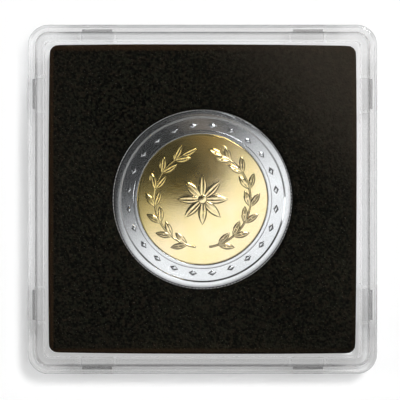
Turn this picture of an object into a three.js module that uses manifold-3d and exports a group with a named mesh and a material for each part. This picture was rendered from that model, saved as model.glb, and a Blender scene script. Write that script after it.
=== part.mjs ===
// A square coin capsule: a clear base and a clear lid that click together round a foam insert, with a
// two-metal coin held in the insert's round hole. The lid's outer skirt drops over the base's inner wall,
// and eight tongues in that wall, each freed by a U-shaped slot, carry the beads that hold the lid.
// Millimetres, +Z up, the origin in the middle of the base's underside, the coin's front facing up.
import * as THREE from "three";
import { ConvexGeometry } from "three/addons/geometries/ConvexGeometry.js";
import { mergeVertices } from "three/addons/utils/BufferGeometryUtils.js";
import Module from "manifold-3d";

const wasm = await Module();
wasm.setup();

// Coin
const coinDiameter = 25.75;
const coinThickness = 2.2;
const coreDiameter = 18.8;
const pressGap = 0.02;
const nickelThickness = 0.2;
const rimWidth = 0.95;
const rimHeight = 0.16;
const rimBevel = 0.2;
const coinEdgeChamfer = 0.12;
const reedCount = 160;
const reedDepth = 0.07;

// Relief on the coin's two faces
const reliefDrop = 0.03;
const reliefSlope = 0.07;
const reliefSink = 0.1;
const wreathMargin = 2.5;
const leafLength = 2.5;
const leafWidth = 0.95;
const leafPairs = 7;
const leafTilt = THREE.MathUtils.degToRad(27);
const leafBelly = 0.5;
const stemWidth = 0.32;
const wreathStart = THREE.MathUtils.degToRad(-82);
const wreathEnd = THREE.MathUtils.degToRad(64);
const rosetteRadius = 3.7;
const rosettePetals = 8;
const petalWidth = 1.3;
const buttonDiameter = 1.5;
const sunburstMargin = 1.6;
const sunburstRays = 18;
const rayWidth = 0.95;
const bossDiameter = 3.4;
const lozengeCount = 24;
const lozengeLength = 1.3;
const lozengeWidth = 0.8;

// Windows and outer shape of the capsule
const capsuleWidth = 50;
const cornerRadius = 3;
const baseWindow = 1.2;
const lidWindow = 1.2;
const coinRecess = 0.825;
const edgeFillet = 0.4;
const seamChamfer = 0.2;

// Lap joint between the lid's skirt and the base's wall
const shoulderRise = 1.9;
const seamGap = 0.05;
const skirtThickness = 1;
const skirtGap = 0.15;
const wallThickness = 1.2;
const wallTopGap = 0.1;
const wallDraft = 0.05;
const wallLead = 0.15;
const rootFillet = 0.3;

// Snap tongues in the base's wall, and the pockets that their beads enter
const tongueWidth = 4.6;
const tongueSetback = 9.9;
const slitWidth = 0.45;
const slotFloor = 0.6;
const moatWidth = 0.35;
const beadLength = 4;
const beadRoot = 0.1;
const beadProud = 0.1;
const beadHeight = 0.8;
const beadDrop = 0.65;
const pocketDepth = 0.35;
const pocketGap = 0.15;

// Foam insert
const insertSideGap = 0.65;
const insertFaceGap = 0.05;
const insertCorner = 1.2;
const insertEdge = 0.12;
const coinGap = 0.1;

// Fineness of the round stretches
const cornerSteps = 9;
const filletSteps = 3;
const foamCornerSteps = 5;
const circleSteps = 96;
const smallCircleSteps = 20;

// How far a cutting shape runs past what it cuts
const overshoot = 1;

// Heights and insets that follow from the sizes above
const cavityHeight = coinThickness + 2 * coinRecess;
const cavityTop = baseWindow + cavityHeight;
const capsuleHeight = cavityTop + lidWindow;
const seamHeight = baseWindow + shoulderRise;
const wallTop = cavityTop - wallTopGap;
const wallOuter = skirtThickness + skirtGap;
const wallInner = wallOuter + wallThickness;
const beadMiddle = wallTop - beadDrop;
const capsuleCentre = capsuleWidth / 2;
const coinRadius = coinDiameter / 2;
const coreRadius = coreDiameter / 2;
const coinMiddle = baseWindow + cavityHeight / 2;
const coinFace = coinThickness / 2;
const field = coinFace - rimHeight;
const reliefHeight = rimHeight - reliefDrop;
const wreathRadius = coreRadius - wreathMargin;
const tongueMiddle = capsuleCentre - tongueSetback;
const nickelFace = nickelThickness / 2;
const insertWidth = capsuleWidth - 2 * (wallInner + insertSideGap);
const insertThickness = cavityHeight - 2 * insertFaceGap;
const holeRadius = coinRadius + coinGap;

// A closed geometry as a solid that can be joined and cut, and back again.
function solid(geometry) {
  const bare = geometry.index ? geometry.toNonIndexed() : geometry.clone();
  bare.deleteAttribute("normal");
  bare.deleteAttribute("uv");
  const merged = mergeVertices(bare);
  return new wasm.Manifold(
    new wasm.Mesh({
      numProp: 3,
      vertProperties: merged.attributes.position.array,
      triVerts: new Uint32Array(merged.index.array),
    }),
  );
}

function geometryOf(body) {
  const mesh = body.getMesh();
  const geometry = new THREE.BufferGeometry();
  geometry.setAttribute("position", new THREE.BufferAttribute(mesh.vertProperties, 3));
  geometry.setIndex(new THREE.BufferAttribute(mesh.triVerts, 1));
  geometry.computeVertexNormals();
  return geometry;
}

const joined = (body, pieces) => pieces.reduce((whole, piece) => whole.add(solid(piece)), body);
const cut = (body, pieces) => pieces.reduce((rest, piece) => rest.subtract(solid(piece)), body);

// A quarter round as [inset, height] points, between the angles of the quarter that it spans.
function quarter(inset, height, radius, fromDegrees, toDegrees) {
  return Array.from({ length: filletSteps + 1 }, (_, i) => {
    const angle = THREE.MathUtils.degToRad(fromDegrees + ((toDegrees - fromDegrees) * i) / filletSteps);
    return [inset + radius * Math.cos(angle), height + radius * Math.sin(angle)];
  });
}

// One turn round a square with round corners, this far in from the capsule's side.
function squareRing(inset, height) {
  const half = capsuleCentre - inset;
  const radius = Math.max(cornerRadius - inset, rootFillet);
  const ring = [];
  for (let corner = 0; corner < 4; corner++) {
    for (let step = 0; step <= cornerSteps; step++) {
      const angle = ((corner + step / cornerSteps) * Math.PI) / 2;
      const middle = (corner + 0.5) * (Math.PI / 2);
      ring.push([
        Math.sign(Math.cos(middle)) * (half - radius) + radius * Math.cos(angle),
        Math.sign(Math.sin(middle)) * (half - radius) + radius * Math.sin(angle),
        height,
      ]);
    }
  }
  return ring;
}

// Carries a profile of [inset, height] points round the capsule's square outline. Both ends of the profile
// close on the centre line: the first in a face that looks down, the last in one that looks up.
function squareSweep(bottom, profile, top) {
  const rings = profile.map(([inset, height]) => squareRing(inset, height));
  const count = rings[0].length;
  const positions = [[0, 0, bottom], ...rings.flat(), [0, 0, top]];
  const last = positions.length - 1;
  const faces = [];
  for (let i = 0; i < count; i++) {
    const next = (i + 1) % count;
    faces.push(0, 1 + next, 1 + i);
    for (let r = 0; r + 1 < rings.length; r++) {
      const [a, b] = [1 + r * count + i, 1 + r * count + next];
      faces.push(a, b, b + count, a, b + count, a + count);
    }
    const end = 1 + (rings.length - 1) * count;
    faces.push(last, end + i, end + next);
  }
  const geometry = new THREE.BufferGeometry();
  geometry.setAttribute("position", new THREE.Float32BufferAttribute(positions.flat(), 3));
  geometry.setIndex(faces);
  return geometry;
}

// A block along the capsule's front side, from one inset to another, centred on x.
function sideBlock(x, length, fromInset, toInset, bottom, top) {
  const block = new THREE.BoxGeometry(length, toInset - fromInset, top - bottom);
  return block.translate(x, -capsuleCentre + (fromInset + toInset) / 2, (bottom + top) / 2);
}

// Copies what makePiece gives for each of the eight tongues: two on each of the four sides.
function atEachTongue(makePiece) {
  const copies = [];
  for (let side = 0; side < 4; side++) {
    for (const x of [-tongueMiddle, tongueMiddle]) {
      copies.push(makePiece(x).rotateZ((side * Math.PI) / 2));
    }
  }
  return copies;
}

// The U-shaped slot that frees a tongue: a slit at each side of it and a moat behind it.
function tongueSlot(x) {
  const [outer, inner] = [wallOuter - moatWidth, wallInner + overshoot];
  const [wide, narrow] = [tongueWidth / 2 + slitWidth, tongueWidth / 2];
  const plan = new THREE.Shape([
    new THREE.Vector2(-wide, outer),
    new THREE.Vector2(wide, outer),
    new THREE.Vector2(wide, inner),
    new THREE.Vector2(narrow, inner),
    new THREE.Vector2(narrow, wallOuter),
    new THREE.Vector2(-narrow, wallOuter),
    new THREE.Vector2(-narrow, inner),
    new THREE.Vector2(-wide, inner),
  ]);
  const floor = baseWindow + slotFloor;
  const slot = new THREE.ExtrudeGeometry(plan, { depth: wallTop + overshoot - floor, bevelEnabled: false });
  return slot.translate(x, -capsuleCentre, floor);
}

// The bead on a tongue's outer face, a low ridge whose two slopes let the lid ride over it.
function tongueBead(x) {
  const ridge = new THREE.Shape([
    new THREE.Vector2(wallOuter + beadRoot, -beadHeight / 2),
    new THREE.Vector2(wallOuter + beadRoot, beadHeight / 2),
    new THREE.Vector2(wallOuter, beadHeight / 2),
    new THREE.Vector2(wallOuter - beadProud, 0),
    new THREE.Vector2(wallOuter, -beadHeight / 2),
  ]);
  const bead = new THREE.ExtrudeGeometry(ridge, { depth: beadLength, bevelEnabled: false });
  bead.rotateX(Math.PI / 2).rotateZ(Math.PI / 2);
  return bead.translate(x - beadLength / 2, -capsuleCentre, beadMiddle);
}

function baseShell() {
  const profile = [
    ...quarter(edgeFillet, edgeFillet, edgeFillet, 270, 180),
    [0, seamHeight - seamChamfer],
    [seamChamfer, seamHeight],
    [wallOuter, seamHeight],
    [wallOuter, wallTop - wallLead],
    [wallOuter + wallLead, wallTop],
    [wallInner - wallDraft - wallLead, wallTop],
    [wallInner - wallDraft, wallTop - wallLead],
    ...quarter(wallInner + rootFillet, baseWindow + rootFillet, rootFillet, 180, 270),
  ];
  const shell = solid(squareSweep(0, profile, baseWindow));
  return geometryOf(joined(cut(shell, atEachTongue(tongueSlot)), atEachTongue(tongueBead)));
}

function lidShell() {
  const skirtBottom = seamHeight + seamGap;
  const profile = [
    [skirtThickness + seamChamfer, cavityTop],
    [skirtThickness, cavityTop - seamChamfer],
    [skirtThickness, skirtBottom + seamChamfer],
    [skirtThickness - seamChamfer, skirtBottom],
    [seamChamfer, skirtBottom],
    [0, skirtBottom + seamChamfer],
    ...quarter(edgeFillet, capsuleHeight - edgeFillet, edgeFillet, 180, 90),
  ];
  const shell = solid(squareSweep(cavityTop, profile, capsuleHeight));
  const pocket = (x) =>
    sideBlock(
      x,
      beadLength + 2 * pocketGap,
      skirtThickness - pocketDepth,
      skirtThickness + skirtGap,
      beadMiddle - beadHeight / 2 - pocketGap,
      beadMiddle + beadHeight / 2 + pocketGap,
    );
  return geometryOf(cut(shell, atEachTongue(pocket)));
}

function circle(radius, steps) {
  return Array.from({ length: steps }, (_, i) => {
    const angle = (i / steps) * 2 * Math.PI;
    return new THREE.Vector2(radius * Math.cos(angle), radius * Math.sin(angle));
  });
}

// The foam insert, die-cut from sheet, so its corners are round and its edges a little soft.
function foamInsert() {
  const half = insertWidth / 2;
  const straight = half - insertCorner;
  const outline = new THREE.Shape();
  outline.absarc(straight, straight, insertCorner, 0, Math.PI / 2);
  outline.absarc(-straight, straight, insertCorner, Math.PI / 2, Math.PI);
  outline.absarc(-straight, -straight, insertCorner, Math.PI, 1.5 * Math.PI);
  outline.absarc(straight, -straight, insertCorner, 1.5 * Math.PI, 2 * Math.PI);
  outline.closePath();
  outline.holes.push(new THREE.Path(circle(holeRadius, circleSteps)));
  const foam = new THREE.ExtrudeGeometry(outline, {
    depth: insertThickness - 2 * insertEdge,
    curveSegments: foamCornerSteps,
    bevelThickness: insertEdge,
    bevelSize: insertEdge,
    bevelOffset: -insertEdge,
    bevelSegments: 1,
  });
  return geometryOf(solid(foam.translate(0, 0, insertEdge)));
}

// A profile of [radius, height] points, from low to high, turned about the coin's axis.
function turned(profile, steps = circleSteps) {
  const points = profile.map(([radius, height]) => new THREE.Vector2(radius, height));
  return new THREE.LatheGeometry(points, steps).rotateX(Math.PI / 2);
}

function disc(radius, bottom, top, steps) {
  return turned([[0, bottom], [radius, bottom], [radius, top], [0, top]], steps);
}

// A struck shape: walls that rise steeply round its outline, then slopes up to its crest. It is sunk a
// little into the face that it stands on.
function raised(outline, crest) {
  const points = [
    ...outline.map(([x, y]) => new THREE.Vector3(x, y, -reliefSink)),
    ...outline.map(([x, y]) => new THREE.Vector3(x, y, reliefHeight - reliefSlope)),
    ...crest.map(([x, y]) => new THREE.Vector3(x, y, reliefHeight)),
  ];
  return new ConvexGeometry(points);
}

// A leaf, petal or ray that points along +X from the origin, with a ridge along its middle.
function leaf(length, width) {
  const belly = length * leafBelly;
  const half = width / 2;
  const outline = [
    [0, 0],
    [belly / 2, 0.8 * half],
    [belly, half],
    [(belly + length) / 2, 0.7 * half],
    [length, 0],
    [(belly + length) / 2, -0.7 * half],
    [belly, -half],
    [belly / 2, -0.8 * half],
  ];
  return raised(outline, [[belly / 2, 0], [(belly + length) / 2, 0]]);
}

function onCircle(piece, radius, angle, turn = 0) {
  return piece.rotateZ(turn).translate(radius, 0, 0).rotateZ(angle);
}

// One side of the wreath: a bent stem in short straight runs, a pair of leaves on each run, and one leaf at
// the tip, which starts inside the stem.
function sprig() {
  const step = (wreathEnd - wreathStart) / leafPairs;
  const along = Math.PI / 2;
  const pieces = [];
  for (let i = 0; i < leafPairs; i++) {
    const angle = wreathStart + i * step;
    const run = 2 * wreathRadius * Math.sin(step / 2);
    const stem = raised(
      [[0, -stemWidth / 2], [run, -stemWidth / 2], [run, stemWidth / 2], [0, stemWidth / 2]],
      [[0, 0], [run, 0]],
    );
    pieces.push(onCircle(stem, wreathRadius, angle, along + step / 2));
    for (const side of [-1, 1]) {
      pieces.push(onCircle(leaf(leafLength, leafWidth), wreathRadius, angle + step / 2, along + side * leafTilt));
    }
  }
  pieces.push(onCircle(leaf(leafLength, leafWidth).translate(-stemWidth, 0, 0), wreathRadius, wreathEnd, along));
  return pieces;
}

function mirrored(piece) {
  const copy = piece.clone().scale(-1, 1, 1);
  const corners = copy.attributes.position;
  const first = new THREE.Vector3();
  const second = new THREE.Vector3();
  for (let i = 0; i < corners.count; i += 3) {
    first.fromBufferAttribute(corners, i + 1);
    second.fromBufferAttribute(corners, i + 2);
    corners.setXYZ(i + 1, second.x, second.y, second.z);
    corners.setXYZ(i + 2, first.x, first.y, first.z);
  }
  return copy;
}

// Petals or rays that spread from the coin's middle, with a round button over the place where they meet.
function spread(count, length, width, button) {
  const middle = disc(button / 2, -reliefSink, reliefHeight, smallCircleSteps);
  const petals = Array.from({ length: count }, (_, i) => leaf(length, width).rotateZ((i / count) * 2 * Math.PI));
  return [middle, ...petals];
}

// Front of the core: two sprigs that nearly meet over a rosette.
function frontRelief() {
  const rosette = spread(rosettePetals, rosetteRadius, petalWidth, buttonDiameter);
  return [...sprig(), ...sprig().map(mirrored), ...rosette];
}

// Back of the core: a sunburst.
function backRelief() {
  return spread(sunburstRays, coreRadius - sunburstMargin, rayWidth, bossDiameter);
}

// A ring of four-sided lozenges, midway between the core and the rim.
function lozenges() {
  const radius = (coreRadius + coinRadius - rimWidth) / 2;
  const [half, across] = [lozengeWidth / 2, lozengeLength / 2];
  return Array.from({ length: lozengeCount }, (_, i) =>
    onCircle(
      raised([[-half, 0], [0, -across], [half, 0], [0, across]], [[0, 0]]),
      radius,
      ((i + 0.5) / lozengeCount) * 2 * Math.PI,
    ),
  );
}

// Lifts a relief to the field of the front, or turns it over for the back.
const onFront = (pieces) => pieces.map((piece) => piece.translate(0, 0, field));
const onBack = (pieces) => pieces.map((piece) => piece.rotateX(Math.PI).translate(0, 0, -field));

// The coin's outer ring: a reeded edge, a raised rim and a sunk field on both faces, and the core's bore.
function coinRing() {
  const edge = Array.from({ length: 2 * reedCount }, (_, i) => {
    const radius = i % 2 ? coinRadius - reedDepth : coinRadius;
    const angle = (i / (2 * reedCount)) * 2 * Math.PI;
    return new THREE.Vector2(radius * Math.cos(angle), radius * Math.sin(angle));
  });
  const outline = new THREE.Shape(edge);
  const blank = solid(
    new THREE.ExtrudeGeometry(outline, { depth: coinThickness, bevelEnabled: false }).translate(0, 0, -coinFace),
  );
  const chamfered = solid(
    turned([
      [0, -coinFace],
      [coinRadius - coinEdgeChamfer - reedDepth, -coinFace],
      [coinRadius + reedDepth, -coinFace + coinEdgeChamfer + 2 * reedDepth],
      [coinRadius + reedDepth, coinFace - coinEdgeChamfer - 2 * reedDepth],
      [coinRadius - coinEdgeChamfer - reedDepth, coinFace],
      [0, coinFace],
    ]),
  );
  const rimInside = coinRadius - rimWidth;
  const recess = () =>
    turned([
      [0, field],
      [rimInside - rimBevel, field],
      [rimInside, coinFace],
      [rimInside, coinFace + overshoot],
      [0, coinFace + overshoot],
    ]);
  const bore = disc(coreRadius + pressGap, -coinFace - overshoot, coinFace + overshoot);
  const ring = cut(blank.intersect(chamfered), [recess(), recess().rotateX(Math.PI), bore]);
  return geometryOf(joined(ring, [...onFront(lozenges()), ...onBack(lozenges())]));
}

function material(color, roughness, metalness, opacity = 1) {
  return new THREE.MeshStandardMaterial({ color, roughness, metalness, opacity, transparent: opacity < 1 });
}

const clearPlastic = material(0xeef2f4, 0.05, 0, 0.3);
const blackFoam = material(0x16150f, 0.95, 0);
const whiteMetal = material(0xc3c8cf, 0.2, 1);
const goldMetal = material(0xd9bd74, 0.2, 1);
const nickel = material(0xb5b1a8, 0.3, 1);

function named(name, geometry, surface) {
  const mesh = new THREE.Mesh(geometry, surface);
  mesh.name = name;
  return mesh;
}

const coreFront = joined(solid(disc(coreRadius, nickelFace, field)), onFront(frontRelief()));
const coreBack = joined(solid(disc(coreRadius, -field, -nickelFace)), onBack(backRelief()));

const coin = new THREE.Group();
coin.position.z = coinMiddle;
coin.add(
  named("coin_ring", coinRing(), whiteMetal),
  named("coin_core_front", geometryOf(coreFront), goldMetal),
  named("coin_core_nickel", geometryOf(solid(disc(coreRadius, -nickelFace, nickelFace))), nickel),
  named("coin_core_back", geometryOf(coreBack), goldMetal),
);

const insert = named("foam_insert", foamInsert(), blackFoam);
insert.position.z = baseWindow + insertFaceGap;

const capsule = new THREE.Group();
capsule.add(
  named("base_shell", baseShell(), clearPlastic),
  named("lid_shell", lidShell(), clearPlastic),
  insert,
  coin,
);

export default capsule;
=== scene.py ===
import math

import bmesh
import bpy
from mathutils import Matrix, Vector, noise


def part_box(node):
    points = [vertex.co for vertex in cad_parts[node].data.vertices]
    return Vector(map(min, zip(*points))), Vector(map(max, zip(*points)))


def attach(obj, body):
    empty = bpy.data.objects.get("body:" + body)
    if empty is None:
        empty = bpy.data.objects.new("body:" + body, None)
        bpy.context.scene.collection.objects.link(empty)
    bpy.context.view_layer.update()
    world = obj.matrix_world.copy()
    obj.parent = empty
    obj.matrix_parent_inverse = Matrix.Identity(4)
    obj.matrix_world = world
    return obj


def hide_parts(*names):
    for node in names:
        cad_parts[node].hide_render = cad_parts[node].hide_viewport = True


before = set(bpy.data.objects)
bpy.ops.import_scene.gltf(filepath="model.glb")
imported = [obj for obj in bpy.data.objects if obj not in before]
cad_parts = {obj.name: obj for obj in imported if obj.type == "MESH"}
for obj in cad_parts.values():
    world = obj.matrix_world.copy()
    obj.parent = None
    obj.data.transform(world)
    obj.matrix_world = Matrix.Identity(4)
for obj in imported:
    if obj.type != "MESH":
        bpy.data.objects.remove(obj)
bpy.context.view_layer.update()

# The base is one clear injection moulding: a flat window, a low side and, standing up inside it, the wall
# that the lid closes over. Eight snap tongues are cut free in that wall by U-shaped slots, and each carries
# a low bead on its outer face.
mm = 0.001
capsule_width = 50 * mm
capsule_corner = 3 * mm
window_thickness = 1.2 * mm
edge_round = 0.4 * mm
seam_height = 3.1 * mm
seam_round = 0.2 * mm
wall_top = 4.95 * mm
wall_outer = 1.15 * mm
wall_inner = 2.32 * mm
wall_round = 0.15 * mm
root_round = 0.3 * mm
tongue_setback = 9.9 * mm
tongue_width = 4.6 * mm
slit_width = 0.45 * mm
slot_floor = 1.8 * mm
moat_width = 0.35 * mm
bead_length = 4 * mm
bead_height = 0.8 * mm
bead_proud = 0.1 * mm
bead_middle = 4.3 * mm
slot_depth = 3 * mm
floor_inset = 2.9 * mm
underside_inset = 1 * mm
overshoot = 1 * mm
corner_steps = 20
bead_steps = 24
arc_step = math.radians(15)
sharp_angle = math.radians(30)
merge_distance = 0.01 * mm
clear_colour = (0.995, 0.994, 0.991)
# The grey that the plastic's painted shade mixes in
painted_shade_colour = (0.2, 0.2, 0.205)
window_light = (0.95, 0.955, 0.96, 1)
far_side_light = (0.03, 0.032, 0.035)
near_side_light = (0.65, 0.65, 0.66)
# How strong the painted shade is on the walls, near their outer face, in the moats, at the front and on the
# rims
wall_painted_shade = 0.17
edge_painted_shade = 0.3
moat_painted_shade = 0.35
front_painted_shade = 0.2
back_rim_painted_shade = 0.3
front_rim_painted_shade = 0.1
front_fade = 0.5
corner_fade = 0.5
wall_reach = (22.7 * mm, 23 * mm)
edge_reach = (23.4 * mm, 23.85 * mm)
front_line = (23.5 * mm, 23.6 * mm, 24.25 * mm, 24.35 * mm)
moat_reach = (23.8 * mm, 23.9 * mm, 24.3 * mm, 24.5 * mm)
moat_heights = (1.6 * mm, 1.7 * mm, 2.6 * mm, 2.8 * mm)
rim_reach = (24.45 * mm, 24.55 * mm)
outer_side = (24.2 * mm, 24.4 * mm)
corner_reach = (18.5 * mm, 21.5 * mm)
above_seam = (3.2 * mm, 3.6 * mm)
wall_top_heights = (4.8 * mm, 4.9 * mm, 4.97 * mm, 5.03 * mm)
front_side = (-0.9, -0.97)
back_side = (0.9, 0.97)
scuffed_from = (0.55, 0.8)
slanting_from = (0.12, 0.4)
front_shadow = (-1, -0.2)
lamp_direction = (0.53, 0.85)
lamp_side_edge = (-0.3, 0.3)


class Wire:
    """An output socket in a node tree. Arithmetic on wires adds Math nodes to the tree."""

    def __init__(self, tree, socket=None):
        self.tree = tree
        self.socket = socket

    def node(self, kind, inputs=None, output=0, **settings):
        """Adds a node: its settings first, then the values or links of its sockets."""
        made = self.tree.nodes.new(kind)
        for name, value in settings.items():
            setattr(made, name, value)
        for name, value in (inputs or {}).items():
            for one in value if isinstance(value, list) else [value]:
                if isinstance(one, Wire):
                    self.tree.links.new(one.socket, made.inputs[name])
                else:
                    made.inputs[name].default_value = one
        return Wire(self.tree, made.outputs[output] if made.outputs else None)

    def maths(self, operation, *values):
        return self.node("ShaderNodeMath", dict(enumerate(values)), operation=operation)

    def __add__(self, other):
        return self.maths("ADD", self, other)

    def __radd__(self, other):
        return self.maths("ADD", other, self)

    def __sub__(self, other):
        return self.maths("SUBTRACT", self, other)

    def __rsub__(self, other):
        return self.maths("SUBTRACT", other, self)

    def __mul__(self, other):
        return self.maths("MULTIPLY", self, other)

    def __rmul__(self, other):
        return self.maths("MULTIPLY", other, self)

    def __truediv__(self, other):
        return self.maths("DIVIDE", self, other)

    def __rtruediv__(self, other):
        return self.maths("DIVIDE", other, self)

    def __pow__(self, other):
        return self.maths("POWER", self, other)

    def __neg__(self):
        return self.maths("MULTIPLY", self, -1)

    def __abs__(self):
        return self.maths("ABSOLUTE", self)

    def step(self, low, high):
        """0 below low and 1 above high, with a soft step between."""
        ends = {"Value": self, "From Min": low, "From Max": high}
        return self.node("ShaderNodeMapRange", ends, interpolation_type="SMOOTHSTEP")

    def zone(self, low, full, fade, high):
        """0 up to low, 1 from full to fade, and 0 again above high, with soft steps between."""
        return self.step(low, full) * (1 - self.step(fade, high))

    def colours(self, low, high):
        """A mix of two colours, with this wire as its factor."""
        ends = {0: self}
        for place, colour in ((6, low), (7, high)):
            ends[place] = colour if isinstance(colour, Wire) else (*colour, 1)
        return self.node("ShaderNodeMix", ends, output=2, data_type="RGBA")

    def axes(self):
        return [self.node("ShaderNodeSeparateXYZ", {0: self}, output=axis) for axis in range(3)]

    def vector(self, x=0, y=0, z=0):
        return self.node("ShaderNodeCombineXYZ", {0: x, 1: y, 2: z})

    def moved(self, x=0, y=0, z=0, turn=0, scale=(1, 1, 1)):
        """Turns this geometry about Z and scales it, then moves it."""
        shift = self.vector(x, y, z)
        place = {"Geometry": self, "Translation": shift, "Rotation": (0, 0, turn), "Scale": scale}
        return self.node("GeometryNodeTransform", place)

    def with_others(self, *others):
        return self.node("GeometryNodeJoinGeometry", {0: [self, *others]})

    def fan(self, count, turn, first=0):
        """Copies of this geometry turned about Z, each by one turn more than the last."""
        spots = self.node("GeometryNodeMeshLine", {"Count": count, "Offset": (0, 0, 0)})
        index = self.node("GeometryNodeInputIndex")
        turns = self.vector(z=index * turn + first)
        placed = {"Points": spots, "Instance": self, "Rotation": turns}
        copies = self.node("GeometryNodeInstanceOnPoints", placed)
        return copies.node("GeometryNodeRealizeInstances", {0: copies})


def empty_material(name):
    material = bpy.data.materials.new(name)
    material.use_nodes = True
    material.node_tree.nodes.clear()
    return material, Wire(material.node_tree)


def sized_tree(name, sizes):
    """A Geometry Nodes tree with a named input for each size, and the wires of its inputs."""
    tree = bpy.data.node_groups.new(name, "GeometryNodeTree")
    tree.interface.new_socket("Geometry", in_out="OUTPUT", socket_type="NodeSocketGeometry")
    tree.interface.new_socket("Geometry", in_out="INPUT", socket_type="NodeSocketGeometry")
    for label in sizes:
        tree.interface.new_socket(label, in_out="INPUT", socket_type="NodeSocketFloat")
    entry = tree.nodes.new("NodeGroupInput")
    return [Wire(tree, socket) for socket in entry.outputs[: len(sizes) + 1]]


def plain_piece(name, result, material, sizes, profile):
    """Runs the tree on the profile once, and returns a piece whose plain mesh is what the tree made."""
    result = result.node("GeometryNodeRealizeInstances", {"Geometry": result})
    result = result.node("GeometryNodeSetMaterial", {"Geometry": result, "Material": material})
    result.node("NodeGroupOutput", {0: result})
    holder = bpy.data.objects.new(name, profile)
    bpy.context.scene.collection.objects.link(holder)
    modifier = holder.modifiers.new("tree", "NODES")
    modifier.node_group = result.tree
    for item in result.tree.interface.items_tree:
        if item.in_out == "INPUT" and item.name in sizes:
            modifier[item.identifier] = sizes[item.name]
    evaluated = holder.evaluated_get(bpy.context.evaluated_depsgraph_get())
    mesh = bpy.data.meshes.new_from_object(evaluated)
    bpy.data.objects.remove(holder)
    mesh.shade_smooth()
    mesh.set_sharp_from_angle(angle=sharp_angle)
    piece = bpy.data.objects.new(name, mesh)
    bpy.context.scene.collection.objects.link(piece)
    return piece


def rounded(corners):
    """A line through [inset, height, radius] corners, each rounded by its radius."""
    spots = [Vector(corner[:2]) for corner in corners]
    line = []
    for index, (_, _, radius) in enumerate(corners):
        here = spots[index]
        if not radius:
            line.append(here)
            continue
        back = (spots[index - 1] - here).normalized()
        on = (spots[(index + 1) % len(spots)] - here).normalized()
        half = back.angle(on) / 2
        centre = here + (back + on).normalized() * radius / math.sin(half)
        reach = radius / math.tan(half)
        first = here + back * reach - centre
        turn = math.pi - 2 * half
        side = -1 if back.cross(on) > 0 else 1
        steps = max(2, math.ceil(turn / arc_step))
        for step in range(steps + 1):
            line.append(centre + Matrix.Rotation(side * turn * step / steps, 2) @ first)
    return line


def profile_curve(name, corners, closed=False):
    """The rounded line as a curve, its inset to the left and its height down, as the sweep needs it."""
    curve = bpy.data.curves.new(name, "CURVE")
    curve.dimensions = "3D"
    line = rounded(corners)
    spline = curve.splines.new("POLY")
    spline.points.add(len(line) - 1)
    spline.use_cyclic_u = closed
    for point, (inset, height) in zip(spline.points, line):
        point.co = (-inset, -height, 0, 1)
    return curve


def square_path(width, corner):
    """Draws the capsule's outline this far inside itself."""

    def path(inset):
        side = width - 2 * inset
        square = width.node("GeometryNodeCurvePrimitiveQuadrilateral", {"Width": side, "Height": side})
        round_off = {"Curve": square, "Count": corner_steps, "Radius": corner - inset}
        return square.node("GeometryNodeFilletCurve", round_off, mode="POLY")

    return path


def swept(profile, path, ends):
    """Carries the profile round the path, and closes each end with a flat face that looks up or down."""
    parts = [profile.node("GeometryNodeCurveToMesh", {"Curve": path(0), "Profile Curve": profile})]
    for inset, height, looks_up in ends:
        rim = path(inset)
        face = rim.node("GeometryNodeFillCurve", {"Curve": rim}, mode="NGONS")
        if not looks_up:
            face = face.node("GeometryNodeFlipFaces", {"Mesh": face})
        parts.append(face.moved(z=height))
    whole = parts[0].with_others(*parts[1:])
    return whole.node("GeometryNodeMergeByDistance", {"Geometry": whole, "Distance": merge_distance})


def block(width, length, inset, depth, bottom, top):
    """A block along the capsule's front side, centred on X."""
    size = width.vector(length, depth, top - bottom)
    cube = width.node("GeometryNodeMeshCube", {"Size": size})
    return cube.moved(y=inset + depth / 2 - width / 2, z=(bottom + top) / 2)


def at_each_tongue(piece, width, setback):
    """Copies of a piece at the eight tongues, two on each side."""
    place = width / 2 - setback
    pair = piece.moved(x=place).with_others(piece.moved(x=-place))
    return pair.fan(4, math.pi / 2)


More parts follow.
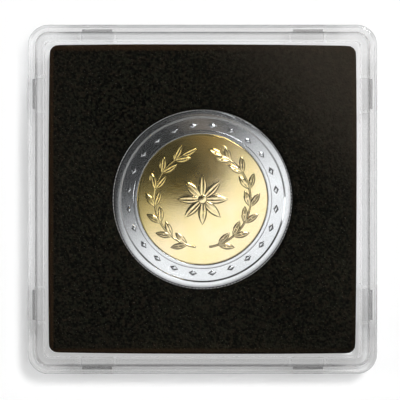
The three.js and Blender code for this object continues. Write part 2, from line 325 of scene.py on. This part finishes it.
def clear_plastic(name, scuff):
    """Glassy plastic with faint scuffs, and painted shade that greys its walls, moats and rims. Lamps
    shine through the windows, and into the sides that face them, but out of the far sides comes little of
    their light."""
    material, start = empty_material(name)
    place = start.node("ShaderNodeTexCoord", output="Object")
    across, up, height = place.axes()
    straight = capsule_width / 2 - capsule_corner
    past = [across.maths("MAXIMUM", abs(side) - straight, 0) for side in (across, up)]
    outward = (past[0] * past[0] + past[1] * past[1]) ** 0.5 + straight
    in_corner = across.maths("MINIMUM", abs(across), abs(up)).step(*corner_reach)
    at_front = (up / outward).step(*front_side)
    at_back = (up / outward).step(*back_side)
    upper = height.step(*above_seam)
    # Painted shade: grey over the walls above the seam, with darker lines near their outer face, less in the
    # corners
    painted_wall_shade = outward.step(*wall_reach) * wall_painted_shade * (1 - front_fade * at_front)
    painted_wall_shade = painted_wall_shade + outward.zone(*front_line) * at_front * front_painted_shade
    painted_wall_shade = painted_wall_shade + outward.step(*edge_reach) * edge_painted_shade
    painted_wall_shade = painted_wall_shade * (1 - corner_fade * in_corner) * upper
    # More painted shade in the moats and on the rims at the back and, less, at the front
    in_moat = outward.zone(*moat_reach) * height.zone(*moat_heights)
    painted_rim_shade = outward.step(*rim_reach) * upper
    painted_rim_shade = painted_rim_shade * (at_back * back_rim_painted_shade + at_front * front_rim_painted_shade)
    painted_shade = painted_wall_shade + in_moat * moat_painted_shade + painted_rim_shade
    scuffs = start.node("ShaderNodeTexNoise", {"Vector": place, "Scale": 900, "Detail": 4})
    ripple = start.node("ShaderNodeTexNoise", {"Vector": place, "Scale": 160, "Detail": 1})
    # The plastic's base colour carries the painted shade
    plastic = start.node(
        "ShaderNodeBsdfPrincipled",
        {
            "Base Color": painted_shade.colours(clear_colour, painted_shade_colour),
            "Roughness": 0.01 + scuff * scuffs.step(*scuffed_from),
            "IOR": 1.49,
            "Transmission Weight": 1,
            "Normal": start.node("ShaderNodeBump", {"Height": ripple, "Strength": 0.02, "Distance": 0.0002}),
        },
    )
    through_window = start.node("ShaderNodeBsdfTransparent", {"Color": window_light})
    outermost = outward.step(*outer_side)
    lamp_side = ((across * lamp_direction[0] + up * lamp_direction[1]) / outward).step(*lamp_side_edge)
    not_front = (up / outward).step(*front_shadow)
    lit_side = not_front + outermost * (lamp_side - not_front)
    wall_light = lit_side.colours(far_side_light, near_side_light)
    through_wall = start.node("ShaderNodeBsdfTransparent", {"Color": wall_light})
    on_wall_top = height.zone(*wall_top_heights) * outward.step(*wall_reach)
    slant = start.node("ShaderNodeLayerWeight", {"Blend": 0.5}, output="Facing").step(*slanting_from)
    slant = slant.maths("MAXIMUM", slant, on_wall_top)
    passing = start.node("ShaderNodeMixShader", {0: slant, 1: through_window, 2: through_wall})
    in_shadow = start.node("ShaderNodeLightPath", output="Is Shadow Ray")
    mixed = start.node("ShaderNodeMixShader", {0: in_shadow, 1: plastic, 2: passing})
    start.node("ShaderNodeOutputMaterial", {"Surface": mixed})
    return material


base_plastic = clear_plastic("base_plastic", scuff=0.02)
base_sizes = {
    "Width": capsule_width,
    "Corner radius": capsule_corner,
    "Tongue width": tongue_width,
    "Tongue setback": tongue_setback,
    "Slit width": slit_width,
    "Bead length": bead_length,
}
outline, width, corner, tongue, setback, slit, bead_run = sized_tree("base_moulding", base_sizes)
base_profile = profile_curve(
    "base_profile",
    [
        (floor_inset, window_thickness, 0),
        (wall_inner, window_thickness, root_round),
        (wall_inner, wall_top, wall_round),
        (wall_outer, wall_top, wall_round),
        (wall_outer, seam_height, 0),
        (0, seam_height, seam_round),
        (0, 0, edge_round),
        (underside_inset, 0, 0),
    ],
)
base_ends = [(floor_inset, window_thickness, True), (underside_inset, 0, False)]
shell = swept(outline, square_path(width, corner), base_ends)
pit_top = wall_top + overshoot
pit = block(width, tongue + 2 * slit, wall_outer - moat_width, slot_depth, slot_floor, pit_top)
kept = block(width, tongue, wall_outer, slot_depth, slot_floor - overshoot, pit_top + overshoot)
slot = pit.node("GeometryNodeMeshBoolean", {0: pit, 1: kept}, operation="DIFFERENCE", solver="EXACT")
slots = at_each_tongue(slot, width, setback)
shell = shell.node("GeometryNodeMeshBoolean", {0: shell, 1: slots}, operation="DIFFERENCE", solver="EXACT")
bead_size = {"Vertices": bead_steps, "Radius": bead_height / 2, "Depth": bead_run}
bead = width.node("GeometryNodeMeshCylinder", bead_size)
lying = {"Geometry": bead, "Rotation": (0, math.pi / 2, 0)}
bead = bead.node("GeometryNodeTransform", lying)
bead = bead.moved(y=wall_outer - width / 2, z=bead_middle, scale=(1, 2 * bead_proud / bead_height, 1))
beads = at_each_tongue(bead, width, setback)
shell = shell.node("GeometryNodeMeshBoolean", {1: [shell, beads]}, operation="UNION", solver="EXACT")
clear_base = plain_piece("clear_base", shell, base_plastic, base_sizes, base_profile)
clear_base.modifiers.new("flat_faces", "WEIGHTED_NORMAL").keep_sharp = True
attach(clear_base, "base")
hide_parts("base_shell")

# The insert is black closed-cell foam, die-cut from sheet, so its sides are bowed a little, its corners are
# round and its cut edges are soft. Its round hole grips the coin.
foam_low, foam_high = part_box("foam_insert")
foam_swell = 0.1 * mm
foam_half = (foam_high.x - foam_low.x) / 2 + foam_swell
foam_corner = 1.2 * mm
foam_bow = 0.2 * mm
foam_stretch = 0.09 * mm
foam_rise = 0.04 * mm
foam_turn = math.radians(-0.15)
foam_edge = 0.25 * mm
foam_edge_drop = 0.2 * mm
foam_lump = 0.03 * mm
foam_lump_size = 2.5 * mm
hole_radius = 12.975 * mm
foam_columns = 360
foam_rings = 28
pit_green = (0.0004, 0.0004, 0.0002)
skin_green = (0.0115, 0.0118, 0.0072)
pit_brown = (0.0005, 0.0004, 0.0002)
skin_brown = (0.0145, 0.0108, 0.007)
# The colour of the painted sheen near the insert's edge
painted_edge_sheen = (0.02, 0.011, 0.005)
skin_from = (0.35, 0.68)
brown_from = (0.4, 0.65)
# Where the painted sheen lies, and how it fades towards the right
painted_sheen_reach = (21.2 * mm, 21.6 * mm)
painted_sheen_fade = (-10 * mm, 15 * mm)
painted_sheen_faded = 0.7


def foam_outline(angle):
    """The insert's edge in this direction: a square with round corners, its sides drawn in near them."""
    across, up = sorted((abs(math.cos(angle)), abs(math.sin(angle))))
    flat = foam_half - foam_corner
    reach = foam_half / up
    if reach * across > flat:
        middle = flat * (across + up)
        reach = middle + math.sqrt(middle**2 - 2 * flat**2 + foam_corner**2)
    return reach - foam_bow * (reach * across / foam_half) ** 3


def foam_surface():
    """Black foam: fine cells, a dull skin and a painted brown sheen near its edge, weaker to the right."""
    material, start = empty_material("black_foam")
    place = start.node("ShaderNodeTexCoord", output="Object")
    cells = start.node("ShaderNodeTexVoronoi", {"Vector": place, "Scale": 3200}, output="Distance")
    grain = start.node("ShaderNodeTexNoise", {"Vector": place, "Scale": 2900, "Detail": 2})
    hue = start.node("ShaderNodeTexNoise", {"Vector": place, "Scale": 1650, "Detail": 1})
    across, up, _ = place.axes()
    # Painted sheen: brown near the insert's edge, weaker towards the right
    from_middle = across.maths("MAXIMUM", abs(across), abs(up))
    faded = across.step(*painted_sheen_fade) * painted_sheen_faded
    edge = from_middle.step(*painted_sheen_reach) * (1 - faded)
    raised = grain.step(*skin_from)
    greenish = raised.colours(pit_green, skin_green)
    brownish = raised.colours(pit_brown, skin_brown)
    skin = hue.step(*brown_from).colours(greenish, brownish)
    foam = start.node(
        "ShaderNodeBsdfPrincipled",
        {
            "Base Color": edge.colours(skin, painted_edge_sheen),
            "Roughness": 0.75 + 0.2 * grain,
            "Specular IOR Level": 0.02,
            "Normal": start.node(
                "ShaderNodeBump",
                {"Height": cells * 0.6 + grain * 0.8, "Strength": 0.8, "Distance": 0.00015},
            ),
        },
    )
    start.node("ShaderNodeOutputMaterial", {"Surface": foam})
    return material


def foam_mesh():
    """Rings of points that pass from the hole, over the top, down the outside, and back underneath."""
    mesh = bpy.data.meshes.new("die_cut_foam")
    shape = bmesh.new()
    middle = (foam_low.z + foam_high.z) / 2
    half_height = (foam_high.z - foam_low.z) / 2
    spans = [step / foam_rings for step in range(foam_rings + 1)]
    rows = [(span, 1) for span in spans] + [(span, -1) for span in reversed(spans)]
    rings = []
    for span, face in rows:
        ring = []
        for column in range(foam_columns):
            angle = 2 * math.pi * column / foam_columns
            edge = foam_outline(angle)
            reach = hole_radius + (edge - hole_radius) * span
            from_edge = min(reach - hole_radius, edge - reach)
            drop = foam_edge_drop * max(0, 1 - from_edge / foam_edge) ** 2
            spot = Vector((reach * math.cos(angle), reach * math.sin(angle), 0))
            lump = foam_lump * (noise.noise(spot / foam_lump_size) - 0.5)
            spot.z = middle + face * (half_height - drop + min(0, lump))
            if span == 1:
                spot.y += math.copysign(foam_stretch, spot.y) * abs(math.sin(angle)) + foam_rise
            ring.append(shape.verts.new(spot))
        rings.append(ring)
    for inner, outer in zip(rings, rings[1:] + rings[:1]):
        for column in range(foam_columns):
            after = (column + 1) % foam_columns
            shape.faces.new((inner[column], outer[column], outer[after], inner[after]))
    bmesh.ops.rotate(shape, verts=shape.verts, matrix=Matrix.Rotation(foam_turn, 3, "Z"))
    bmesh.ops.recalc_face_normals(shape, faces=shape.faces)
    shape.to_mesh(mesh)
    shape.free()
    mesh.shade_smooth()
    return mesh


insert = bpy.data.objects.new("die_cut_foam", foam_mesh())
bpy.context.scene.collection.objects.link(insert)
insert.data.materials.append(foam_surface())
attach(insert, "insert")
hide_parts("foam_insert")

# The coin's outer ring is white metal, struck with a raised rim, a sunk field and a circle of lozenges, and
# reeded on its edge. Its bore grips the yellow core.
coin_middle = 3.125 * mm
coin_radius = 12.875 * mm
core_radius = 9.4 * mm
bore_radius = 9.42 * mm
coin_face = 1.1 * mm
field = 0.94 * mm
rim_inside = 11.925 * mm
rim_slope = 0.22 * mm
rim_round = 0.06 * mm
joint_round = 0.1 * mm
joint_lip = 0.03 * mm
lip_width = 0.5 * mm
coin_edge_round = 0.12 * mm
reed_count = 160
reed_depth = 0.07 * mm
reed_radius = 0.13 * mm
reed_end = 0.2 * mm
reed_steps = 10
lozenge_count = 24
lozenge_length = 1.3 * mm
lozenge_width = 0.8 * mm
relief_height = 0.13 * mm
relief_sink = 0.1 * mm
relief_swell = 0.6
relief_rings = 12
relief_steps = 24
field_bulge = 3.7
bulge_middle = (-3 * mm, 7 * mm)
# Where the painted shade on the metal's upper left side begins and is full
painted_shade_reach = (-2 * mm, 9 * mm)
bright_from = (0.3, 0.7)
turning_steps = 192


def round_path(start, radius):
    """Draws a circle this far inside the coin's edge."""

    def path(inset):
        circle = {"Resolution": turning_steps, "Radius": radius - inset}
        return start.node("GeometryNodeCurvePrimitiveCircle", circle)

    return path


def both_faces(front):
    """A relief on the coin's front, and the same one turned over on its back."""
    place = (0, 0, coin_middle - field)
    turned_over = {"Geometry": front, "Rotation": (math.pi, 0, 0), "Translation": place}
    back = front.node("GeometryNodeTransform", turned_over)
    return front.moved(z=coin_middle + field).with_others(back)


def struck_shape(start, segments, shape):
    """A low closed form that rises steeply from its outline. The shape turns a ball's points into its own."""
    round_form = {"Segments": segments, "Rings": relief_rings, "Radius": 1}
    ball = start.node("GeometryNodeMeshUVSphere", round_form)
    x, y, z = start.node("GeometryNodeInputPosition").axes()
    rise = z.maths("MAXIMUM", z, 0)
    sink = z.maths("MINIMUM", z, 0)
    new_x, new_y, crest = shape(x, y)
    height = rise**relief_swell * crest * relief_height + sink * relief_sink
    spots = {"Geometry": ball, "Position": start.vector(new_x, new_y, height)}
    return ball.node("GeometryNodeSetPosition", spots)


def lozenge(x, y):
    """A lozenge that lies across the ring. The small number keeps its middle point from a division by 0."""
    reach = (x * x + y * y) ** 0.5 / (abs(x) + abs(y) + 0.0001)
    return x * reach * (lozenge_width / 2), y * reach * (lozenge_length / 2), 1


def struck_metal(name, bright, dark, shade_side_colour, streak_turn):
    """Metal from the die: a field that is a little domed, flow lines, hairlines and a dull patch or two. Its
    colour is painted darker towards its upper left side, as painted shade."""
    material, start = empty_material(name)
    place = start.node("ShaderNodeTexCoord", output="Object")
    across, up, _ = place.axes()
    drawn = {"Vector": place, "Scale": (0.12, 1, 1), "Rotation": (0, 0, streak_turn)}
    hairlines = start.node(
        "ShaderNodeTexNoise",
        {"Vector": start.node("ShaderNodeMapping", drawn), "Scale": 9000, "Detail": 2},
    )
    grain = start.node("ShaderNodeTexNoise", {"Vector": place, "Scale": 2600, "Detail": 3})
    patches = start.node("ShaderNodeTexNoise", {"Vector": place, "Scale": 220, "Detail": 3})
    # Painted shade: the colour turns darker towards the upper left side
    painted_shade_side = (up - across).step(*painted_shade_reach)
    across, up = across - bulge_middle[0], up - bulge_middle[1]
    bulge = (across * across + up * up) * -field_bulge
    dome = start.node("ShaderNodeBump", {"Height": bulge, "Strength": 1, "Distance": 1})
    depth = hairlines * 0.6 + grain * 0.4
    scratches = {"Height": depth, "Strength": 0.25, "Distance": 0.01 * mm, "Normal": dome}
    metal = start.node(
        "ShaderNodeBsdfPrincipled",
        {
            "Base Color": painted_shade_side.colours(patches.step(*bright_from).colours(dark, bright), shade_side_colour),
            "Metallic": 1,
            "Roughness": 0.06 + 0.06 * patches + 0.05 * hairlines,
            "Normal": start.node("ShaderNodeBump", scratches),
        },
    )
    start.node("ShaderNodeOutputMaterial", {"Surface": metal})
    return material


ring_inset = coin_radius - bore_radius
ring_corners = [
    (ring_inset, field + joint_lip, joint_round),
    (ring_inset - lip_width, field + joint_lip, rim_round),
    (ring_inset - lip_width - joint_lip * 2, field, rim_round),
    (coin_radius - rim_inside + rim_slope, field, rim_round),
    (coin_radius - rim_inside, coin_face, rim_round),
    (reed_depth, coin_face, coin_edge_round),
]
ring_profile = profile_curve(
    "ring_profile",
    [(inset, coin_middle + height, radius) for inset, height, radius in ring_corners]
    + [(inset, coin_middle - height, radius) for inset, height, radius in reversed(ring_corners)],
    closed=True,
)
bright_white = (0.76, 0.78, 0.80)
dark_white = (0.70, 0.72, 0.74)
# The darker white is also the painted shade on the ring's upper left side
white_metal = struck_metal("white_metal", bright_white, dark_white, dark_white, streak_turn=0.15)
ring_sizes = {"Coin radius": coin_radius, "Reeds": reed_count, "Lozenges": lozenge_count}
outline, radius, reeds, lozenges = sized_tree("reeded_ring", ring_sizes)
blank = swept(outline, round_path(outline, radius), [])
reed_size = {"Vertices": reed_steps, "Radius": reed_radius, "Depth": 2 * (coin_face - reed_end)}
reed = outline.node("GeometryNodeMeshCylinder", reed_size).moved(x=radius - reed_radius, z=coin_middle)
first = struck_shape(outline, relief_steps, lozenge).moved(x=(core_radius + rim_inside) / 2)
circle = first.fan(lozenges, 2 * math.pi / lozenges, math.pi / lozenges)
ring = blank.with_others(reed.fan(reeds, 2 * math.pi / reeds), both_faces(circle))
reeded_ring = plain_piece("reeded_ring", ring, white_metal, ring_sizes, ring_profile)
reeded_ring.modifiers.new("flat_faces", "WEIGHTED_NORMAL").keep_sharp = True
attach(reeded_ring, "coin")
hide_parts("coin_ring")

# Between the core's two yellow layers lies a thin sheet of nickel, rolled together with them. Only its edge
# would show, and the ring covers that.
nickel_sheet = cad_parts["coin_core_nickel"]
nickel_sheet.data.materials.clear()
dark_nickel = (0.6, 0.58, 0.54)
# The darker nickel is also its painted shade on the upper left side
nickel = struck_metal("nickel", (0.68, 0.66, 0.61), dark_nickel, dark_nickel, streak_turn=0.9)
nickel_sheet.data.materials.append(nickel)

# The core's back is yellow metal struck with a sunburst: eighteen rays round a plain boss.
nickel_face = 0.1 * mm
ray_length = 7.8 * mm
ray_width = 0.95 * mm
ray_count = 18
boss_radius = 1.7 * mm
boss_steps = 32
boss_crest = 1.1
groove_reach = 0.35
disc_inset = 0.3 * mm


def leaf(length, width, groove):
    """A pointed leaf, petal or ray that grows along +X, with a groove down its middle."""

    def shape(x, y):
        taper = x.maths("MAXIMUM", 1 - x * x, 0) ** 0.5
        crease = 1 - groove * (1 - abs(y).step(0, groove_reach))
        return (x + 1) * (length / 2), y * taper * (width / 2), crease

    return shape


def button(radius):
    """A round button, a little higher than the leaves that spread from it."""
    return lambda x, y: (x * radius, y * radius, boss_crest)


def yellow_disc(outline, radius):
    """One yellow layer of the core, with its sharp edge rounded where it meets the ring."""
    ends = [(disc_inset, coin_middle + field, True), (disc_inset, coin_middle + nickel_face, False)]
    return swept(outline, round_path(outline, radius), ends)


def disc_profile(name):
    corners = [
        (disc_inset, coin_middle + field, 0),
        (0, coin_middle + field, joint_round),
        (0, coin_middle + nickel_face, 0),
        (disc_inset, coin_middle + nickel_face, 0),
    ]
    return profile_curve(name, corners)


bright_yellow = (0.95, 0.80, 0.52)
dark_yellow = (0.90, 0.76, 0.42)
# The deeper, darker yellow is the painted shade on the core's upper left side
painted_shade_yellow = (0.92, 0.75, 0.31)
yellow_metal = struck_metal("yellow_metal", bright_yellow, dark_yellow, painted_shade_yellow, streak_turn=0.15)
back_sizes = {"Core radius": core_radius, "Rays": ray_count, "Ray length": ray_length}
outline, radius, rays, run = sized_tree("struck_back", back_sizes)
ray = struck_shape(outline, relief_steps, leaf(run, ray_width, 0))
boss = struck_shape(outline, boss_steps, button(boss_radius))
sunburst = ray.fan(rays, 2 * math.pi / rays).with_others(boss)
back = yellow_disc(outline, radius).with_others(sunburst.moved(z=coin_middle + field))
turn_over = {"Geometry": back, "Rotation": (math.pi, 0, 0), "Translation": (0, 0, 2 * coin_middle)}
back = back.node("GeometryNodeTransform", turn_over)
struck_back = plain_piece("struck_back", back, yellow_metal, back_sizes, disc_profile("back_profile"))
struck_back.modifiers.new("flat_faces", "WEIGHTED_NORMAL").keep_sharp = True
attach(struck_back, "coin")
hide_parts("coin_core_back")

# The core's front is yellow metal struck with a rosette between two leafy sprigs that nearly meet over it.
wreath_radius = 6.9 * mm
wreath_start = math.radians(-82)
wreath_end = math.radians(64)
leaf_pairs = 7
leaf_length = 2.5 * mm
leaf_width = 0.95 * mm
leaf_tilt = math.radians(27)
leaf_groove = 0.35
stem_width = 0.32 * mm
stem_flatness = 0.7
stem_steps = 48
stem_sides = 12
petal_count = 8
petal_length = 3.7 * mm
petal_width = 1.3 * mm
petal_groove = 0.3
button_radius = 0.75 * mm


def sprig(outline, side, length, radius):
    """A bent stem with pairs of leaves and one at its tip: the right one, or with side -1 the left one."""
    step = (wreath_end - wreath_start) / leaf_pairs
    middle = math.pi / 2
    place = {
        "Resolution": stem_steps,
        "Radius": radius,
        "Start Angle": middle + side * (wreath_start - middle),
        "Sweep Angle": side * (wreath_end - wreath_start),
    }
    arc = outline.node("GeometryNodeCurveArc", place, mode="RADIUS")
    circle = {"Resolution": stem_sides, "Radius": stem_width / 2}
    section = outline.node("GeometryNodeCurvePrimitiveCircle", circle)
    swept_stem = {"Curve": arc, "Profile Curve": section, "Fill Caps": True}
    stem = outline.node("GeometryNodeCurveToMesh", swept_stem)
    growth = [stem.moved(scale=(1, 1, stem_flatness))]
    blade = struck_shape(outline, relief_steps, leaf(length, leaf_width, leaf_groove))
    for lean in (-1, 1):
        pair = blade.moved(x=radius, turn=side * middle + lean * leaf_tilt)
        lowest = middle + side * (wreath_start + step / 2 - middle)
        growth.append(pair.fan(leaf_pairs, side * step, lowest))
    tip = blade.moved(x=radius, turn=side * middle)
    growth.append(tip.fan(1, 0, middle + side * (wreath_end - middle)))
    return growth


front_sizes = {"Core radius": core_radius, "Wreath radius": wreath_radius, "Leaf length": leaf_length}
outline, radius, wreath, length = sized_tree("struck_front", front_sizes)
petal = struck_shape(outline, relief_steps, leaf(petal_length, petal_width, petal_groove))
reliefs = [petal.fan(petal_count, 2 * math.pi / petal_count)]
reliefs.append(struck_shape(outline, boss_steps, button(button_radius)))
reliefs += sprig(outline, 1, length, wreath) + sprig(outline, -1, length, wreath)
reliefs = reliefs[0].with_others(*reliefs[1:]).moved(z=coin_middle + field)
front = yellow_disc(outline, radius).with_others(reliefs)
struck_front = plain_piece("struck_front", front, yellow_metal, front_sizes, disc_profile("front_profile"))
struck_front.modifiers.new("flat_faces", "WEIGHTED_NORMAL").keep_sharp = True
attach(struck_front, "coin")
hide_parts("coin_core_front")

# The lid is the second clear moulding: a flat window with a short skirt that drops outside the base's wall.
# Inside the skirt are eight shallow pockets, which the beads snap into.
capsule_height = 6.25 * mm
cavity_top = 5.05 * mm
skirt_bottom = 3.15 * mm
skirt_thickness = 1 * mm
pocket_depth = 0.35 * mm
pocket_gap = 0.15 * mm
pocket_reach = 0.5 * mm
top_inset = 1 * mm
ceiling_inset = 2.5 * mm

lid_profile = profile_curve(
    "lid_profile",
    [
        (top_inset, capsule_height, 0),
        (0, capsule_height, edge_round),
        (0, skirt_bottom, seam_round),
        (skirt_thickness, skirt_bottom, seam_round),
        (skirt_thickness, cavity_top, seam_round),
        (ceiling_inset, cavity_top, 0),
    ],
)
lid_sizes = {
    "Width": capsule_width,
    "Corner radius": capsule_corner,
    "Pocket length": bead_length + 2 * pocket_gap,
}
outline, width, corner, pocket_run = sized_tree("lid_moulding", lid_sizes)
lid_ends = [(top_inset, capsule_height, True), (ceiling_inset, cavity_top, False)]
shell = swept(outline, square_path(width, corner), lid_ends)
pocket_bottom = bead_middle - bead_height / 2 - pocket_gap
pocket_top = bead_middle + bead_height / 2 + pocket_gap
pocket_inset = skirt_thickness - pocket_depth
pocket = block(width, pocket_run, pocket_inset, pocket_reach, pocket_bottom, pocket_top)
pockets = at_each_tongue(pocket, width, tongue_setback)
shell = shell.node("GeometryNodeMeshBoolean", {0: shell, 1: pockets}, operation="DIFFERENCE", solver="EXACT")
lid_plastic = clear_plastic("lid_plastic", scuff=0.03)
clear_lid = plain_piece("clear_lid", shell, lid_plastic, lid_sizes, lid_profile)
clear_lid.modifiers.new("flat_faces", "WEIGHTED_NORMAL").keep_sharp = True
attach(clear_lid, "lid")
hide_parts("lid_shell")

# The capsule lies on white paper, and is photographed from straight above. Where the camera sees the paper,
# directly or through the plastic, it is white except for the capsule's shadow. Of the two lamps at the upper
# right, the key lamp gives the highlights and the high lamp the shadow and the light on what is dull.
paper_reach = 3
paper_white = (0.8, 0.8, 0.8)
paper_fibre = (0.784, 0.784, 0.784)
paper_glow = 0.39
glow_through_plastic = 0.48
lamp_distance = 0.9
lamp_bearings = {"key_lamp": 56, "high_lamp": 48, "left_lamp": 180}
lamp_heights = {"key_lamp": 59, "high_lamp": 70, "left_lamp": 38}
lamp_sizes = {"key_lamp": 0.22, "high_lamp": 0.2, "left_lamp": 0.2}
lamp_powers = {"key_lamp": 3.85, "high_lamp": 5, "left_lamp": 0.4}
dark_level = 0.02
wall_level = 0.03
softbox_level = 1.35
softbox_direction = (0.57, -0.82)
softbox_edge = (-0.03, 0.18)
open_from = (0.105, 0.13)
low_from = (0.28, 0.5)
low_share = 0.04
low_band_zone = (0.79, 0.83, 0.86, 0.88)
low_band_level = 0.36
low_band_sides = (0, 0.5)
warm_glow = (0.31, 0.25, 0.19)
warm_direction = (0.7, 0.7)
warm_from = (0.04, 0.1)
horizon = (0.02, -0.02)
picture_width = 57.14 * mm
camera_sensor = 36
camera_rise = 0.3
camera_aside = (-0.357 * mm, -0.086 * mm)


def seen(start):
    """1 for a ray that shows the surface: one from the camera, a reflection or a refraction."""
    kinds = ("Is Camera Ray", "Is Glossy Ray", "Is Transmission Ray")
    camera, glossy, passed = [start.node("ShaderNodeLightPath", output=kind) for kind in kinds]
    scattered = start.node("ShaderNodeLightPath", output="Diffuse Depth")
    shows = camera.maths("MAXIMUM", camera.maths("MAXIMUM", camera, glossy), passed)
    return shows * scattered.maths("LESS_THAN", scattered, 0.5)


def once(start):
    """0 for a ray scattered and then refracted, as the plastic's shadow counts that light already."""
    passed = start.node("ShaderNodeLightPath", output="Is Transmission Ray")
    scattered = start.node("ShaderNodeLightPath", output="Diffuse Depth")
    return 1 - passed * scattered.maths("GREATER_THAN", scattered, 0.5)


def paper_surface():
    material, start = empty_material("white_paper")
    place = start.node("ShaderNodeTexCoord", output="Object")
    fibres = start.node("ShaderNodeTexNoise", {"Vector": place, "Scale": 900})
    sheet = start.node("ShaderNodeBsdfDiffuse", {"Color": fibres.colours(paper_white, paper_fibre)})
    direct = start.node("ShaderNodeLightPath", output="Is Camera Ray")
    strength = seen(start) * (glow_through_plastic - direct * (glow_through_plastic - paper_glow))
    glow = start.node("ShaderNodeEmission", {"Strength": strength})
    both = start.node("ShaderNodeAddShader", {0: sheet, 1: glow})
    start.node("ShaderNodeOutputMaterial", {"Surface": both})
    return material


def paper_sheet():
    mesh = bpy.data.meshes.new("paper")
    sheet = bmesh.new()
    bmesh.ops.create_grid(sheet, x_segments=4, y_segments=4, size=paper_reach / 2)
    sheet.to_mesh(mesh)
    sheet.free()
    mesh.materials.append(paper_surface())
    return bpy.data.objects.new("paper", mesh)


def studio_light():
    """A softbox in front and to the right, darkness round the camera with a warm glow on one side, and a
    pale band low down, except at the back."""
    world = bpy.data.worlds.new("studio")
    bpy.context.scene.world = world
    world.use_nodes = True
    world.node_tree.nodes.clear()
    start = Wire(world.node_tree)
    across, up, height = start.node("ShaderNodeTexCoord", output="Generated").axes()
    tilt = (across * across + up * up) ** 0.5
    softbox = (across * softbox_direction[0] + up * softbox_direction[1]).step(*softbox_edge)
    open_part = tilt.step(*open_from)
    low_part = tilt.step(*low_from)
    glow = (across * warm_direction[0] + up * warm_direction[1]).step(*warm_from) * (1 - open_part)
    sides = (abs(across) - up).step(*low_band_sides)
    walls = low_part * dark_level + tilt.zone(*low_band_zone) * (wall_level + low_band_level * sides)
    middle = open_part * (wall_level + softbox_level * softbox) * (1 - (1 - low_share) * low_part)
    above = dark_level + middle + walls
    warm = glow.colours((0, 0, 0), warm_glow)
    light = start.node("ShaderNodeMix", {0: 1, 6: above, 7: warm}, 2, data_type="RGBA", blend_type="ADD")
    white_below = height.step(*horizon) * seen(start)
    light = white_below.colours(light, (1, 1, 1))
    direct = start.node("ShaderNodeLightPath", output="Is Camera Ray")
    light = direct.colours(once(start).colours((0, 0, 0), light), (1, 1, 1))
    background = start.node("ShaderNodeBackground", {"Color": light})
    start.node("ShaderNodeOutputWorld", {"Surface": background})


paper = paper_sheet()
bpy.context.scene.collection.objects.link(paper)
studio_light()

for name, bearing in lamp_bearings.items():
    lamp_data = bpy.data.lights.new(name, "AREA")
    lamp_data.size = lamp_sizes[name]
    lamp_data.energy = lamp_powers[name]
    lamp_data.use_nodes = True
    lamp_data.node_tree.nodes.clear()
    start = Wire(lamp_data.node_tree)
    shine = start.node("ShaderNodeEmission", {"Color": once(start).colours((0, 0, 0), (1, 1, 1))})
    start.node("ShaderNodeOutputLight", {"Surface": shine})
    lamp = bpy.data.objects.new(name, lamp_data)
    lamp_height = math.radians(lamp_heights[name])
    level = math.cos(lamp_height)
    aside = (level * math.cos(math.radians(bearing)), level * math.sin(math.radians(bearing)))
    towards_lamp = Vector((*aside, math.sin(lamp_height)))
    lamp.location = towards_lamp * lamp_distance
    lamp.rotation_euler = towards_lamp.to_track_quat("Z", "Y").to_euler()
    lamp.visible_camera = False
    lamp.visible_diffuse = name != "key_lamp"
    lamp.visible_glossy = lamp.visible_transmission = name != "high_lamp"
    bpy.context.scene.collection.objects.link(lamp)

camera_data = bpy.data.cameras.new("overhead")
camera_data.sensor_width = camera_sensor
camera_data.lens = camera_data.sensor_width * camera_rise / picture_width
camera_data.clip_start = 0.01
camera = bpy.data.objects.new("overhead", camera_data)
camera.location = (*camera_aside, capsule_height + camera_rise)
bpy.context.scene.collection.objects.link(camera)
bpy.context.scene.camera = camera
bpy.context.scene.view_settings.view_transform = "Standard"
